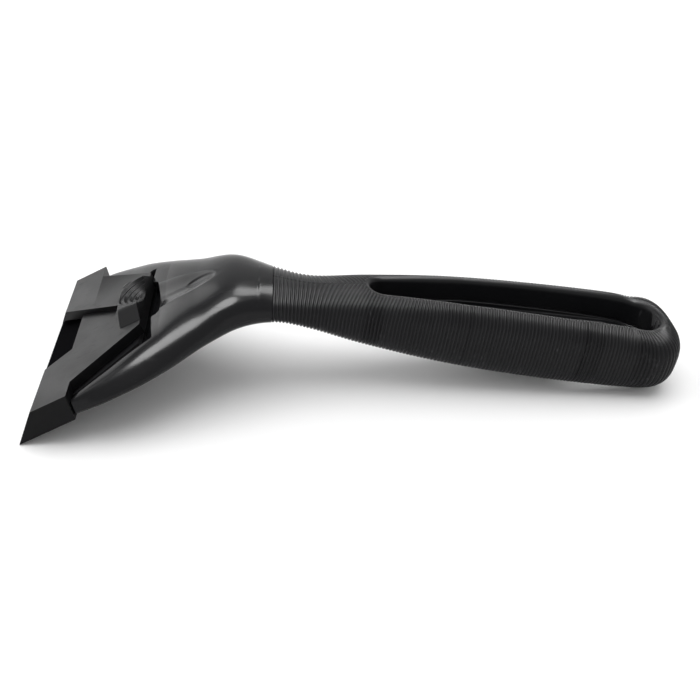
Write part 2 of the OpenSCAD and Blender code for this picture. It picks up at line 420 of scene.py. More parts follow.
def bump(tree, shader, height, strength, distance):
    node = tree.nodes.new("ShaderNodeBump")
    node.inputs["Strength"].default_value = strength
    node.inputs["Distance"].default_value = distance
    tree.links.new(height, node.inputs["Height"])
    tree.links.new(node.outputs["Normal"], shader.inputs["Normal"])


def worn_edges(tree, low, high):
    """1 on sharp edges and 0 elsewhere, from the mesh's own curvature."""
    geometry = tree.nodes.new("ShaderNodeNewGeometry")
    return remap(tree, geometry.outputs["Pointiness"], low, high, 0.0, 1.0)


def black_plastic(name, colour, worn, rough, rough_spread, grain, grain_scale, shine=0.15, wear=None):
    """Moulded black: fine grain, cloudy gloss, hair scratches and paler patches, or worn edges if asked.

    wear is the range of edge sharpness over which an edge turns pale.
    """
    material, tree, shader = new_material(name)
    cloud = noise(tree, 60, 5)
    fine = noise(tree, grain_scale, 3, 0.6)
    scratch = noise(tree, 420, 2, 0.5, stretch=(0.12, 1.0, 1.0))
    edge = remap(tree, cloud, 0.62, 0.75, 0.0, 0.2)
    if wear:
        patches = remap(tree, cloud, 0.35, 0.65, 0.35, 1.0)
        edge = combine(tree, "MULTIPLY", worn_edges(tree, *wear), patches)
    tree.links.new(blend_colours(tree, edge, colour, worn), shader.inputs["Base Color"])
    cloudy = remap(tree, cloud, 0.3, 0.7, rough - rough_spread, rough + rough_spread)
    scratched = remap(tree, scratch, 0.62, 0.75, 0.0, rough_spread * 1.5)
    gloss = combine(tree, "ADD", cloudy, scratched)
    tree.links.new(combine(tree, "ADD", gloss, combine(tree, "MULTIPLY", edge, 0.08)),
                   shader.inputs["Roughness"])
    bump(tree, shader, fine, grain, 0.00005)
    shader.inputs["Specular IOR Level"].default_value = shine
    return material


def ground_metal(name, colour, rough, stretch):
    """Bare metal with fine grinding lines, stretched as asked, and cloudy darker patches."""
    material, tree, shader = new_material(name)
    darker = tuple(c * 0.82 for c in colour)
    lines = noise(tree, 900, 3, 0.6, stretch)
    cloud = noise(tree, 80, 4)
    patches = remap(tree, cloud, 0.35, 0.65, 0, 1)
    tree.links.new(blend_colours(tree, patches, colour, darker), shader.inputs["Base Color"])
    tree.links.new(remap(tree, lines, 0.3, 0.7, rough - 0.08, rough + 0.1), shader.inputs["Roughness"])
    shader.inputs["Metallic"].default_value = 1.0
    bump(tree, shader, lines, 0.25, 0.00004)
    return material


GLOSS = black_plastic("gloss_black_plastic", (0.007, 0.007, 0.0078), (0.03, 0.03, 0.03),
                      0.20, 0.045, 0.05, 3200, wear=(0.53, 0.62))
GUARD = black_plastic("guard_plastic", (0.003, 0.003, 0.0034), (0.02, 0.02, 0.02),
                      0.36, 0.05, 0.22, 4200, shine=0.10)
GRIP = black_plastic("grip_rubber", (0.007, 0.007, 0.0078), (0.03, 0.03, 0.032),
                     0.33, 0.05, 0.15, 3600, wear=(0.52, 0.60))
CLAMP = black_plastic("clamp_coating", (0.012, 0.012, 0.013), (0.08, 0.08, 0.08),
                      0.36, 0.06, 0.25, 2600)
# The blade is painted near black with no shine at all: painted shade that stands for the dark hollow inside
# the guard's nose.
BLADE = black_plastic("blade_steel", (0.004, 0.004, 0.0045), (0.03, 0.03, 0.032),
                      0.42, 0.06, 0.10, 2000, shine=0.0)
SCREW = ground_metal("screw_steel", (0.55, 0.56, 0.58), 0.28, (1.0, 1.0, 1.0))
BRASS = ground_metal("insert_brass", (0.70, 0.50, 0.20), 0.30, (1.0, 1.0, 0.1))


# -------- grip: rows and pocket outline
RIM_W = 4.2                 # width of the roll over the pocket's rim
RIM_DROP = (2.6, 4.0)       # its depth at the pocket's tip and along its sides
RIB_END = 2.0               # the ribs stop this far from the pocket's wall
LEDGE_PLACES = (175, 215, 250)
LEDGE_DROPS = (11.6, 12.4, 12.6)            # depth of the ledge under the grip's top, at those places
LEDGE_W = 1.3
LEDGE_ROUND = 0.35          # radius of its edges, and how far the wall leans in on its way down to it
HOLE_ROUND = 0.9
SKIN_COLUMNS = 96           # points round half of the grip
LINING = 1.2                # thickness of the skin down the pocket's wall
CORE_GAP = 0.02             # the core's top lies this far under the skin's ledge
SHELL_COLUMNS = 30          # points round half of the core
FAN_X = 243.0               # behind here the ribs fan round the end
FAN_R = 23.2
FAN_BLEND = (222, 238)      # here the ribs go over from the rows' places to the points' own
CHEVRON = 0.42              # lean of the ribs round the pocket's tip
CHEVRON_FULL = 131          # they lean fully from here, and less and less between these places
CHEVRON_FALL = (140, 172)
CLEAR = 9.0                 # a distance that counts as away from any edge
END_ROWS = 44

# Circles round which the pocket and the hole are drawn: place along the grip and radius
POCKET = ((140.8, 6.2), (176.0, 10.1), (213.0, 12.0), (247.5, 12.3))
HOLE = ((231.0, 7.5), (246.0, 7.5))
RIM_PLACES = (POCKET[0][0] - 6, POCKET[0][0] + 22)      # the rim deepens between these places


def outline_half(circles, grow=0.0):
    """+Y half of the outline round a row of circles, as points (along, side), front to back."""
    turns = []
    for (x0, r0), (x1, r1) in zip(circles, circles[1:]):
        turns.append(math.acos((r0 - r1) / (x1 - x0)))
    starts = [math.pi] + turns
    ends = turns + [0.0]
    points = []
    for (x, r), start, end in zip(circles, starts, ends):
        turn = np.linspace(start, end, int(40 * abs(start - end) / math.pi) + 2)
        points.append(np.stack([x + (r + grow) * np.cos(turn), (r + grow) * np.sin(turn)], -1))
    out = np.concatenate(points)
    return out[np.argsort(out[:, 0], kind="stable")]


def half_width(outline, at):
    """Half width of an outline at a place along the grip, 0 beyond its ends."""
    return np.interp(at, outline[:, 0], outline[:, 1], left=0.0, right=0.0)


def distance_to(outline, along, side):
    """Plan distance from each point to an outline."""
    a, b = outline[:-1], outline[1:]
    p = np.stack([along, side], -1)[..., None, :]
    ab = b - a
    t = np.clip(((p - a) * ab).sum(-1) / np.maximum((ab ** 2).sum(-1), 1e-12), 0, 1)
    return np.sqrt((((a + ab * t[..., None]) - p) ** 2).sum(-1)).min(-1)


WALL = outline_half(POCKET)
RIM = outline_half(POCKET, RIB_END)
HOLE_EDGE = outline_half(HOLE)
HOLE_RIM = outline_half(HOLE, HOLE_ROUND)


def rim_roll(along, near):
    """How far the grip's skin has sunk at a distance from the pocket's wall."""
    depth = np.interp(along, RIM_PLACES, RIM_DROP)
    t = np.clip(1 - near / RIM_W, 0, 1)
    return depth * (1 - np.sqrt(1 - t ** 2))


FINE = np.arange(GRIP_START, LAST, 0.02)     # places on the row of stations, to measure along it
EVEN_FROM = 0.62            # share of the end's run past which its rows stop following the ribs


def axis_along(st):
    """Distance along the grip's axis of each station's middle."""
    return along_grip(lift(st, np.zeros((len(st), 1)), np.zeros((len(st), 1)))[:, 0])


def grip_places():
    """Places on the row of stations: six to a rib, and one wherever an outline turns."""
    centre = spline_rows(FINE)
    lengths = np.concatenate([[0], np.cumsum(np.hypot(*np.diff(centre[:, :2], axis=0).T))])
    ribs = np.interp(np.arange(0, lengths[-1], RIB_PITCH / 6), lengths, FINE)
    turns = np.concatenate([WALL[:, 0], RIM[:, 0], HOLE_EDGE[:, 0], HOLE_RIM[:, 0]])
    axis = axis_along(centre)
    turns = np.interp(turns[turns < axis[-1]], axis, FINE)
    return np.unique(np.round(np.concatenate([ribs, turns]), 3))


def end_turns():
    """Angles of the rows round the closed end: as close as the ribs need, then evenly spaced."""
    last = axis_along(spline_rows(FINE[-1:]))
    beyond = (np.concatenate([WALL[:, 0], RIM[:, 0]]) - last) / END_RUN
    share = np.concatenate([np.arange(0, EVEN_FROM, RIB_PITCH / 6 / END_RUN), beyond[beyond > 0]])
    turn = np.arcsin(np.unique(np.round(np.clip(share, 0, EVEN_FROM), 3)) ** (END_POWER / 2))
    return np.concatenate([turn, np.linspace(turn[-1], math.pi / 2, END_ROWS)[1:]])


def grip_rows():
    """Stations of the grip's skin and of its hidden back, front to back."""
    rows = spline_rows(grip_places())
    turn = end_turns()
    outer = np.concatenate([inset_rows(rows, PAD), end_rows(turn, PAD)])
    inner = np.concatenate([inset_rows(rows, SLEEVE_T), end_rows(turn, SLEEVE_T)])
    return outer, inner


def arc_columns(st, top_side, count):
    """Points along each section's half, from the side given at the top to the same at the bottom."""
    side, rise = section_half(st)
    out_side, out_rise = np.empty((len(st), count)), np.empty((len(st), count))
    half = side.shape[1] // 2
    t = np.linspace(0, 1, count)
    for i in range(len(st)):
        step = np.hypot(np.diff(side[i]), np.diff(rise[i]))
        length = np.concatenate([[0], np.cumsum(step)])
        want = min(top_side[i], side[i].max())
        start = np.interp(want, side[i][:half + 1], length[:half + 1])
        # A high power keeps the steps even; the limit keeps each point behind the one before
        power = np.clip(0.93 * length[-1] / max(start, 1e-6), 2, 4)
        at = length[-1] * t + start * ((1 - t) ** power - t ** power)
        out_side[i] = np.interp(at, length, side[i])
        out_rise[i] = np.interp(at, length, rise[i])
    return out_side, out_rise


def rib_cut(points, rows_along, rim_distance):
    """Depth of the ribs' grooves at each point of the skin."""
    own_place = smoothstep(*FAN_BLEND, rows_along)[:, None]
    along = rows_along[:, None] + own_place * (along_grip(points) - rows_along[:, None])
    side = np.sqrt(points[..., 1] ** 2 + 0.1)       # rounds the ribs where they cross the middle
    reach = side.max(axis=1, keepdims=True)
    start = along.min()
    chevron = CHEVRON * smoothstep(start + 6, CHEVRON_FULL, along) * (1 - smoothstep(*CHEVRON_FALL, along))
    upper = smoothstep(0.75, 0.25, np.linspace(0, 1, points.shape[1]))[None]
    straight = along - chevron * upper * (reach - side)
    fan = FAN_X + FAN_R * np.arctan2(along - FAN_X, side)
    phase = (np.where(along > FAN_X, fan, straight) - start) / RIB_PITCH
    cut = RIB_DEPTH * (0.5 + 0.5 * np.cos(2 * math.pi * phase)) ** RIB_SHARPNESS
    return cut * smoothstep(0.1, 1.0, rim_distance)


def normals_of(points):
    """Outward unit normals of a grid of points."""
    normal = np.cross(np.gradient(points, axis=0), np.gradient(points, axis=1))
    return normal / np.maximum(np.linalg.norm(normal, axis=-1, keepdims=True), 1e-9)


def ledge_rise(st):
    """Rise of the ledge around the web, which goes down a little towards the grip's end."""
    return st[:, 4:5] - np.interp(st[:, :1], LEDGE_PLACES, LEDGE_DROPS)


def pocket_columns(st, along):
    """Side and rise from the end of the ribs to the ledge, for the +Y half of the top."""
    wall, rim = half_width(WALL, along)[:, None], half_width(RIM, along)[:, None]
    t = np.linspace(0, 1, 11)[None]
    roll_side = rim + (wall - rim) * np.sin(t * math.pi / 2)
    near = distance_to(WALL, np.repeat(along[:, None], t.size, 1), roll_side)
    near = np.where(rim > 0, np.clip(near, 0, RIB_END), near)
    roll_rise = top_rise(st, roll_side) - rim_roll(along[:, None], near)
    drop = np.linspace(0, 1, 9)[None, 1:]
    ledge = ledge_rise(st)
    wall_side = np.maximum(wall - LEDGE_ROUND * drop, 0)
    brink = roll_rise[:, -1:]
    wall_rise = np.where(wall > 0, brink + (ledge - brink) * drop, brink)
    return np.concatenate([roll_side, wall_side], 1), np.concatenate([roll_rise, wall_rise], 1)


def lining_of(rows, gap):
    """Half width of the pocket's opening, with a gap, at each row's own place."""
    wall = half_width(WALL, axis_along(rows))
    return np.where(wall > 0, wall + gap, 0.0)


def smooth_skin(outer, along):
    """The grip's outside without ribs, what of it is on the middle, and how far it is from the ribs' end."""
    side, rise = arc_columns(outer, half_width(RIM, along), SKIN_COLUMNS)
    near = distance_to(WALL, np.repeat(along[:, None], SKIN_COLUMNS, 1), side)
    facing = smoothstep(0.25, 0.5, np.abs(rise) / outer[:, 4:5])        # 1 on the top and the underside
    rise = rise - np.sign(rise) * rim_roll(along[:, None], near) * facing
    return lift(outer, side, rise), side < 1e-9, np.where(facing > 0.01, near - RIB_END, CLEAR)


def ribbed_skin(outer, along):
    """The grip's outside, from the ribs' end beside the top pocket to the one beside the lower pocket."""
    skin, on_middle, from_rim = smooth_skin(outer, along)
    outward = normals_of(skin)
    outward[on_middle, 1] = 0.0
    skin = skin - outward * rib_cut(skin, along, from_rim)[..., None]
    skin[on_middle, 1] = 0.0
    return skin


def hidden_back(outer, inner, pocket_side, pocket_rise):
    """The skin's back: a step outwards under the top wall, the core's outline, and the same step below."""
    is_open = pocket_side[:, -1:] > 0
    back_side, back_rise = arc_columns(inner, lining_of(inner, LINING), SKIN_COLUMNS)
    step_side = np.where(is_open, pocket_side[:, -1:] + LINING, 0.0)
    step_rise = np.where(is_open, pocket_rise[:, -1:], back_rise[:, :1])
    back = lift(inner, back_side, back_rise)
    return lift(outer, step_side, step_rise), back, lift(outer, step_side, -step_rise)


def make_sleeve():
    outer, inner = grip_rows()
    along = axis_along(outer)
    side, rise = pocket_columns(outer, along)
    top_wall, low_wall = lift(outer, side, rise), lift(outer, side, -rise)
    skin = ribbed_skin(outer, along)
    skin[:, 0] = top_wall[:, 0]
    skin[:, -1] = low_wall[:, 0]
    top_step, back, low_step = hidden_back(outer, inner, side, rise)
    ring = [skin, low_wall[:, 1:], low_step, back[:, ::-1], top_step, top_wall[:, :0:-1]]
    work = Patchwork()
    work.add_mirrored(np.concatenate(ring, 1), wrap=True)
    work.add_mirrored(np.stack([skin[0], back[0]]))
    show(work.mesh("ribbed_grip"), GRIP, "tool", ["grip_sleeve"])


# -------- core: web, ledge and hanging hole
def core_columns(st, along):
    """Side and rise from the ledge's outer edge, down to the web and through the hanging hole."""
    wall = half_width(WALL, along)[:, None]
    ledge = ledge_rise(st) - CORE_GAP
    foot = np.maximum(wall - LEDGE_ROUND - LEDGE_W, 0)
    hole = np.minimum(half_width(HOLE_EDGE, along)[:, None], foot)
    hole_rim = np.minimum(half_width(HOLE_RIM, along)[:, None], foot)
    lip = LEDGE_ROUND * (foot > 0)
    slope = np.minimum(0.5, foot)
    sides, rises = [], []

    def put(side, rise):
        sides.append(side * np.ones_like(wall))
        rises.append(rise * np.ones_like(wall))

    put(wall + LINING / 2, ledge)
    put(np.maximum(wall - LEDGE_ROUND, 0), ledge)
    put(foot + lip, ledge)
    for t in (0.3, 0.7, 1.0):
        put(foot + lip * (1 - t), ledge - LEDGE_ROUND * t * t)
    floor = np.minimum(WEB_HALF, ledge - 2 * LEDGE_ROUND)
    for t in (0.3, 0.65, 0.9, 1.0):
        put(foot - slope * t ** 3, ledge - LEDGE_ROUND + (floor - ledge + LEDGE_ROUND) * t)
    for t in np.linspace(0.12, 1, 8):
        put(foot - slope + (hole_rim - foot + slope) * t, floor)
    for t in np.linspace(0.17, 1, 6):
        side = hole_rim + (hole - hole_rim) * math.sin(t * math.pi / 2)
        near = np.clip(distance_to(HOLE_EDGE, along[:, None], side), 0, HOLE_ROUND)
        roll = HOLE_ROUND - np.sqrt(HOLE_ROUND ** 2 - (HOLE_ROUND - near) ** 2)
        put(side, np.where(hole_rim > 0, floor - roll, floor))
    last = rises[-1]
    for t in (0.4, 0.8, 1.0):
        put(sides[-1], np.where(hole > 0, last * (1 - t), last))
    return np.concatenate(sides, 1), np.concatenate(rises, 1)


def make_core():
    """The handle's core inside the grip: ledges, web and hanging hole."""
    outer, inner = grip_rows()
    inner = inset_rows(inner, 2 * CORE_GAP)
    inner[:, 3:5] = np.maximum(inner[:, 3:5], 0.0)
    along = axis_along(outer)
    keep = (along > WALL[0, 0] - 6) & (along < WALL[-1, 0] + 3)
    outer, inner, along = outer[keep], inner[keep], along[keep]
    side, rise = core_columns(outer, along)
    closed = half_width(WALL, along) <= 0
    side[closed] = 0.0
    rise[closed] = WEB_HALF - 1
    shell_side, shell_rise = arc_columns(inner, lining_of(inner, LINING - 0.05), SHELL_COLUMNS)
    shell = lift(inner, shell_side, shell_rise)
    top, low = lift(outer, side, rise), lift(outer, side, -rise)
    work = Patchwork()
    work.add_mirrored(np.concatenate([top[:, ::-1], shell, low], 1))
    for end in (0, -1):
        work.add_mirrored(np.stack([shell[end], shell[end] * [1, 0, 1]]))
    return work.mesh("core")


# -------- head and neck
# The recess in the head's top, in the head's frame: wide open on the near side, close round the guard
# on the far side
NEAR, FAR = -1, 1
RAIL_HALF = 49.3            # near half width where the guard's wings end
RAIL_TAPER = 0.55
RAIL_SLANT = 0.6            # slope of the recess's sides, for square distances to them
FAR_GAP = 0.6               # room beside the guard's plate on the far side
CORNER_HALF = 29.3          # far half width at the rear corner
CORNER_SPAN = (50.5, 54.2)
NEAR_BACK = 59.3
FAR_BACK = 56.5
BACK_SLANT = 0.13
BAY_HALF = 15.5             # bay for the thumb in the recess's rear
BAY_BACK = 61.3
BAY_ROUND = 4.0
TAIL_FRONT = 58.0           # a thin groove carries the near side on, from here to there
TAIL_BACK = 69.0
TAIL_HALF = 0.45
RECESS_ROUND = 1.2
WALL_SLOPE = 9.0
WALL_FOOT = 0.9             # the wall's foot lies this far inside the recess's edge
SEAT_COVER = 0.25           # the recess's floor lies this far over the blade's seat


def rail_half(u, side):
    """Half width of the recess."""
    if side == NEAR:
        return RAIL_HALF - RAIL_TAPER * (u - WING_END)
    close = PLATE_HALF + FAR_GAP - PLATE_TAPER * (u - WING_END)
    return close + (CORNER_HALF - close) * smoothstep(*CORNER_SPAN, u)


def rounded_corner(a, b, radius):
    """Signed distance to the corner between two walls, from the distances to each."""
    corner = np.hypot(np.maximum(a + radius, 0), np.maximum(b + radius, 0)) - radius
    return np.where((a > -radius) & (b > -radius), corner, np.maximum(a, b))


def recess_edge(u, y, side):
    """Signed plan distance to the recess in the head's top: below 0 inside."""
    to_side = (y - rail_half(u, side)) / math.hypot(1, RAIL_SLANT)
    back = FAR_BACK if side == FAR else NEAR_BACK + BACK_SLANT * np.maximum(y - BAY_HALF - 1, 0)
    bay = rounded_corner(y - BAY_HALF, u - BAY_BACK + BACK_SLANT * side * y, BAY_ROUND)
    main = smooth_min(rounded_corner(to_side, u - back, RECESS_ROUND), bay, RECESS_ROUND)
    if side == FAR:
        return main
    tail = rounded_corner(np.abs(to_side + 2 * TAIL_HALF) - TAIL_HALF, u - TAIL_BACK, 0.4) + TAIL_HALF
    return np.minimum(main, np.where(u > TAIL_FRONT, tail, CLEAR))


def head_rows():
    """Places on the row of stations, closest round the recess's rear edge."""
    front = np.arange(0.2, 3.5, 0.035)
    rear_edge = np.arange(3.5, 5.2, 0.012)
    neck = np.arange(5.2, GRIP_START, 0.03)
    return np.concatenate([front, rear_edge, neck, [GRIP_START]])


# Place on the row of stations, the crest's share of the half width, and the share of crown kept
CREST = np.array([
    (0.0, 0.985, 0.30),
    (1.0, 0.985, 0.30),
    (2.0, 0.905, 0.30),
    (3.0, 0.860, 0.30),
    (4.0, 0.800, 0.35),
    (5.0, 0.640, 0.50),
    (6.0, 0.480, 0.85),
    (6.6, 0.450, 1.00),
    (8.0, 0.450, 1.00)])
CREST_ROUND = 1.5


def flatten_top(places, st, side, rise):
    """Bring the head's top down to a shallow crown between two rounded crests."""
    share = np.interp(places, CREST[:, 0], CREST[:, 1])[:, None]
    keep = np.interp(places, CREST[:, 0], CREST[:, 2])[:, None]
    crest = share * st[:, 3:4]
    widest = side.argmax(1)
    level = np.empty_like(crest)
    for i, k in enumerate(widest):
        level[i] = np.interp(crest[i], side[i, :k + 1], rise[i, :k + 1])
    crown = level + keep * (st[:, 4:5] - level) * (1 - (side / crest) ** 2)
    flat = smooth_min(rise, crown, CREST_ROUND)
    top = (np.arange(side.shape[1])[None] <= widest[:, None]) & (keep < 0.999)
    return np.where(top, np.minimum(rise, flat), rise)


INSIDE_COLUMNS = 60         # columns on a half section: over the recess, at its edge, and in all
EDGE_COLUMNS = 20
HEAD_COLUMNS = 150
EDGE_REACH = 1.5            # the edge's columns lie this close to it


def head_columns(st, hand):
    """Side and rise of each section's +Y half, with columns that follow the recess's sides."""
    side, rise = section_half(st, 721)
    out_side, out_rise = [], []
    for i, row in enumerate(st):
        u = tool_to_head(np.array([row[0], 0, row[1]]))[0]
        widest = side[i].argmax()
        most = side[i][widest]
        rim = np.clip(rail_half(u, hand), 12.0, most * 0.95)
        inside = np.linspace(0, rim - EDGE_REACH, INSIDE_COLUMNS)
        at_edge = np.linspace(rim - EDGE_REACH + 0.1, rim + EDGE_REACH, EDGE_COLUMNS)
        wants = np.minimum(np.concatenate([inside, at_edge]), most * 0.985)
        length = np.concatenate([[0], np.cumsum(np.hypot(np.diff(side[i]), np.diff(rise[i])))])
        at = np.interp(wants, side[i][:widest + 1], length[:widest + 1])
        below = np.linspace(at[-1], length[-1], HEAD_COLUMNS - len(at) + 1)[1:]
        at = np.concatenate([at, below])
        out_side.append(np.interp(at, length, side[i]))
        out_rise.append(np.interp(at, length, rise[i]))
    return np.array(out_side), np.array(out_rise)


SCOOP_END = 89.0            # rounded rear end of the thumb's run-in
SCOOP_LEN = 23.0
SCOOP_HALF = 11.0
SCOOP_DEPTH = 1.5
LEAF_MID = 79.5
LEAF_LEN = 6.5              # half length and half width
LEAF_HALF = 3.2
LEAF_DEPTH = 0.35


def scoop(u, y):
    """Depth of the thumb's run-in behind the recess: a tongue with a shallow leaf in its floor."""
    half = SCOOP_HALF * np.sqrt(np.clip((SCOOP_END - u) / SCOOP_LEN, 0, 1.2)) + 1e-6
    bowl = SCOOP_DEPTH * np.clip(1 - (y / half) ** 2, 0, 1) ** 1.5 * smoothstep(SCOOP_END + 1, 72, u)
    leaf = LEAF_DEPTH * smoothstep(1.15, 0.75, np.hypot((u - LEAF_MID) / LEAF_LEN, y / LEAF_HALF))
    return bowl + leaf


def shape_top(points, hand):
    """Sink the recess and the thumb's run-in into the head's top."""
    head = tool_to_head(points)
    u, y, n = head[..., 0], head[..., 1], head[..., 2]
    is_top = np.arange(points.shape[1])[None] < INSIDE_COLUMNS + EDGE_COLUMNS + 2
    n = n - scoop(u, y) * is_top * (n > 2)
    edge = recess_edge(u, y, hand)
    wall = FLOOR_N + SEAT_COVER + np.maximum(edge + WALL_FOOT, 0) * WALL_SLOPE
    sunk = smooth_min(n, wall, WALL_FOOT)
    head[..., 2] = np.where(is_top & (edge < 3.0), np.minimum(n, sunk), n)
    return head_to_tool(head)


def plug_rows(columns):
    """Two rows that carry the neck on under the grip's skin."""
    plug = []
    for beyond, inset in ((0.001, SLEEVE_T), (0.5, SLEEVE_T + 0.3)):
        row = inset_rows(spline_rows([GRIP_START + beyond]), inset)
        side, rise = arc_columns(row, np.zeros(1), columns)
        plug.append(lift(row, side, rise)[0])
    return np.array(plug)


def head_half(hand):
    """Grid of the head and neck on one side of the middle."""
    places = head_rows()
    st = inset_rows(spline_rows(places), PAD)
    side, rise = head_columns(st, hand)
    points = shape_top(lift(st, side, flatten_top(places, st, side, rise)), hand)
    points[:, 0, 1] = 0.0
    points[:, -1, 1] = 0.0
    return np.concatenate([points, plug_rows(points.shape[1])]) * [1, hand, 1]


def make_head():
    work = Patchwork()
    for hand in (FAR, NEAR):
        points = head_half(hand)
        work.add_grid(points)
        for end in (0, -1):
            work.add_grid(np.stack([points[end], points[end] * [1, 0, 1]]))
    return trim_front(work.mesh("head"))


def make_seat():
    """Tongue that carries the blade, in front of the head and inside the guard."""
    front, back = CLAMP_FRONT + 1, BLADE_BACK + 3
    outline = [(front, -SEAT_HALF), (back, -SEAT_HALF), (back, SEAT_HALF), (front, SEAT_HALF)]
    return carve(prism(outline, LIP_T + GAP, SEAT_N - 0.02), [], bevel=0.3)


def make_body():
    data = join("handle_shell", [make_head(), make_seat(), make_core()])
    show(data, GLOSS, "tool", ["handle_body"], sharp=42)


def trim_front(data):
    """Cut the head's front along the plane that leans with the guard's wings."""
    foot = Vector(place(head_to_tool([BLADE_BACK - 0.4, 0, 0])))
    lean = head_to_tool([GUARD_H, 0, -WING_SLANT - GAP])
    normal = Vector(lean / np.linalg.norm(lean))
    bm = bmesh.new()
    bm.from_mesh(data)
    geom = bm.verts[:] + bm.edges[:] + bm.faces[:]
    cut = bmesh.ops.bisect_plane(bm, geom=geom, plane_co=foot, plane_no=normal, clear_inner=True)
    edges = [e for e in cut["geom_cut"] if isinstance(e, bmesh.types.BMEdge)]
    bmesh.ops.holes_fill(bm, edges=edges, sides=0)
    bmesh.ops.recalc_face_normals(bm, faces=bm.faces)
    bm.to_mesh(data)
    bm.free()
    return data


def join(name, meshes):
    """One mesh of several, side by side."""
    bm = bmesh.new()
    for data in meshes:
        bm.from_mesh(data)
    result = bpy.data.meshes.new(name)
    bm.to_mesh(result)
    bm.free()
    return result


# -------- blade guard
TAB_HALF = 18.2
TAB_RISE = 4.6
TAB_FRONT = 43.6
TAB_BOW = 2.9               # the tab's front edge curves back this far at its ends
TAB_BASE = 0.6              # depth of its base inside the plate
SIDE_SLOPE = 0.66
FRONT_SLOPE = 1.9
BOWL_R = 12.2
BOWL_MID = (PLATE_END + 0.5, 0.8)
BOWL_FLOOR = 0.3            # height of its lowest point over the plate
RIDGE_PITCH = 2.1
RIDGE_H = 0.75
RIDGE_SHARE = 0.62          # share of the pitch over which a ridge climbs
CUP_ROWS = 130
CUP_COLUMNS = 260


def cup_height(u, y, front):
    """Height of the thumb cup over the plate: a ramped block with a stepped bowl in its back."""
    from_side = (TAB_HALF - np.abs(y)) * SIDE_SLOPE
    from_front = (u - front) * FRONT_SLOPE
    block = smooth_min(smooth_min(from_side, from_front, 1.2), TAB_RISE, 0.7)
    reach = np.hypot(u - BOWL_MID[0], y - BOWL_MID[1])
    bowl = BOWL_FLOOR + (TAB_RISE - 0.2) * np.clip(reach / BOWL_R, 0, 3) ** 1.7
    step = np.mod(BOWL_R - reach, RIDGE_PITCH) / RIDGE_PITCH
    ridge = np.where(step < RIDGE_SHARE, step / RIDGE_SHARE, (1 - step) / (1 - RIDGE_SHARE)) - 0.5
    bowl = bowl + RIDGE_H * ridge * smoothstep(1.6, 3.4, reach)
    return np.maximum(smooth_min(block, bowl, 0.25), 0.0)


def thumb_cup():
    """Raised cup for the thumb, closed by a base inside the plate."""
    y = np.linspace(-1, 1, CUP_COLUMNS)[None] * TAB_HALF
    front = TAB_FRONT + TAB_BOW * np.abs(y / TAB_HALF) ** 2.2
    u = front + (PLATE_END - front) * np.linspace(0, 1, CUP_ROWS)[:, None]
    height = cup_height(u, y, front)
    rim = (u <= front + 1e-9) | (np.abs(y) >= TAB_HALF - 1e-9)
    height = np.where(rim, -0.1, height)
    top = np.stack([u, y * np.ones_like(u), GUARD_H + height], -1)
    base = top.copy()
    base[..., 2] = GUARD_H - TAB_BASE
    work = Patchwork()
    work.add_grid(head_to_tool(top))
    work.add_grid(head_to_tool(base))
    loops = []
    for part in (top, base):
        loop = [part[0], part[1:-1, -1], part[-1, ::-1], part[-2:0:-1, 0]]
        loops.append(head_to_tool(np.concatenate(loop)))
    work.add_grid(np.stack(loops), wrap=True)
    return work.mesh("thumb_cup")


def guard_wedge(half):
    """Solid wedge with the nose in front and both wings' rear ends behind."""
    outline = [(0, 0), (WING_END - WING_SLANT, 0), (WING_END, GUARD_H), (NOSE_RUN, GUARD_H)]
    return prism(outline, -half, half, "side")


def guard_plate():
    """Plate behind the wedge, rooted a little inside it."""
    start, start_half = WING_END - OVER, PLATE_HALF + PLATE_TAPER * OVER
    back_half = PLATE_HALF - PLATE_TAPER * (PLATE_END - WING_END)
    outline = [(start, -start_half), (PLATE_END, -back_half), (PLATE_END, back_half), (start, start_half)]
    return prism(outline, GUARD_H - PLATE_T, GUARD_H)


def guard_hollow(half):
    """Space inside the wedge for the seat, the blade and the clamp."""
    roof, back = CLAMP_TOP + GAP, WING_END + OVER
    outline = [(HOLLOW_FRONT, SEAT_N - 0.5), (HOLLOW_LOW, LIP_T), (back, LIP_T), (back, roof),
               (HOLLOW_HIGH, roof), (HOLLOW_FRONT, FLOOR_N + 0.5)]
    return prism(outline, WING_WALL - half, half - WING_WALL, "side")


def guard_notch(back, bottom):
    """The part of the notch in front of a place, cut down to a level."""
    wide = NOTCH_HALF + NOSE_RUN * NOTCH_TAPER
    narrow = wide + (NOTCH_BACK_HALF - wide) * back / NOTCH_BACK
    return prism([(0, -wide), (back, -narrow), (back, narrow), (0, wide)], bottom, GUARD_H + OVER)


def make_guard():
    half = GUARD_W / 2 - 0.01
    notch = guard_notch(NOTCH_BACK, NOTCH_FLOOR)
    window = guard_notch(WINDOW_END, CLAMP_TOP - OVER)
    cuts = [guard_hollow(half), notch, window]
    steps = [("UNION", guard_plate())] + [("DIFFERENCE", cut) for cut in cuts]
    shell = carve(guard_wedge(half), steps, bevel=0.32)
    data = join("guard_shell", [shell, thumb_cup()])
    show(data, GUARD, "guard", ["blade_guard"], sharp=35, flat=True)


# -------- blade, clamp and small parts
def clamp_chamfer():
    front, back = CLAMP_FRONT - OVER, CLAMP_FRONT + CLAMP_CHAMFER
    foot, over = FLOOR_N + CLAMP_EDGE, CLAMP_TOP + OVER
    outline = [(front, foot), (CLAMP_FRONT, foot), (back, CLAMP_TOP), (back, over), (front, over)]
    return prism(outline, -GUARD_W, GUARD_W, "side")


